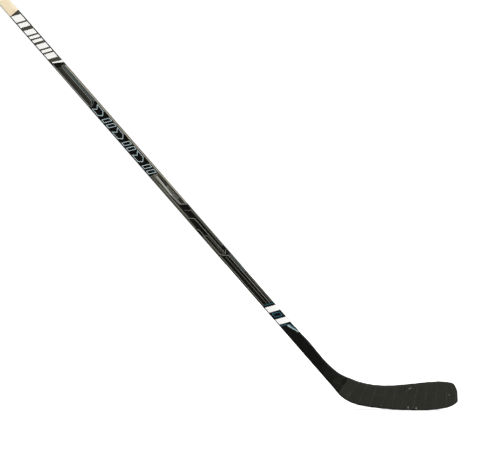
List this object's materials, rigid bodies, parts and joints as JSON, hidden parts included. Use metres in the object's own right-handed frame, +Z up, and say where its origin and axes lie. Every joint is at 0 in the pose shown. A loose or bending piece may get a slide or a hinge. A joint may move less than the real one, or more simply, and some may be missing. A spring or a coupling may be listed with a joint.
{
  "type": "ice hockey stick",
  "caption": "Left-handed ice hockey stick: hollow printed carbon shaft with a wooden butt plug and a fused, curved, foam-cored blade wrapped in cloth tape.",
  "frame": {"origin": "bottom centre of the bounding box, with the tape at the lowest point of the sole on Z = 0", "axes": "the stick stands on its sole at its lie angle, as in play: +X along the ice towards the toe, +Z up, and -Y the forehand side, which the blade curves towards"},
  "size_m": [1.2354, 0.0434, 1.1319],
  "materials": {
    "shaft_carbon": "satin black clear-coated carbon laminate",
    "plug_wood": "bare sanded pale hardwood, straight grain along the shaft",
    "glue": "cloudy amber hot-melt glue",
    "blade_carbon": "black clear-coated carbon laminate, scuffed",
    "foam": "rigid closed-cell foam",
    "resin": "dark fibre-filled epoxy",
    "tape_cloth": "black woven cotton friction tape",
    "print_white": "white screen print under clear coat",
    "print_silver": "warm silver-grey print under clear coat",
    "print_teal": "dark teal print under clear coat"
  },
  "bodies": {
    "root": {"shaft_tube": "shaft_carbon", "butt_plug": "plug_wood", "plug_glue": "glue", "tenon_glue": "glue", "blade_front_skin": "blade_carbon", "blade_back_skin": "blade_carbon", "blade_bridge": "blade_carbon", "blade_core_upper": "foam", "blade_core_lower": "foam", "neck_core": "foam", "blade_edge_bead": "resin", "blade_tape": "tape_cloth"}
  },
  "joints": []
}
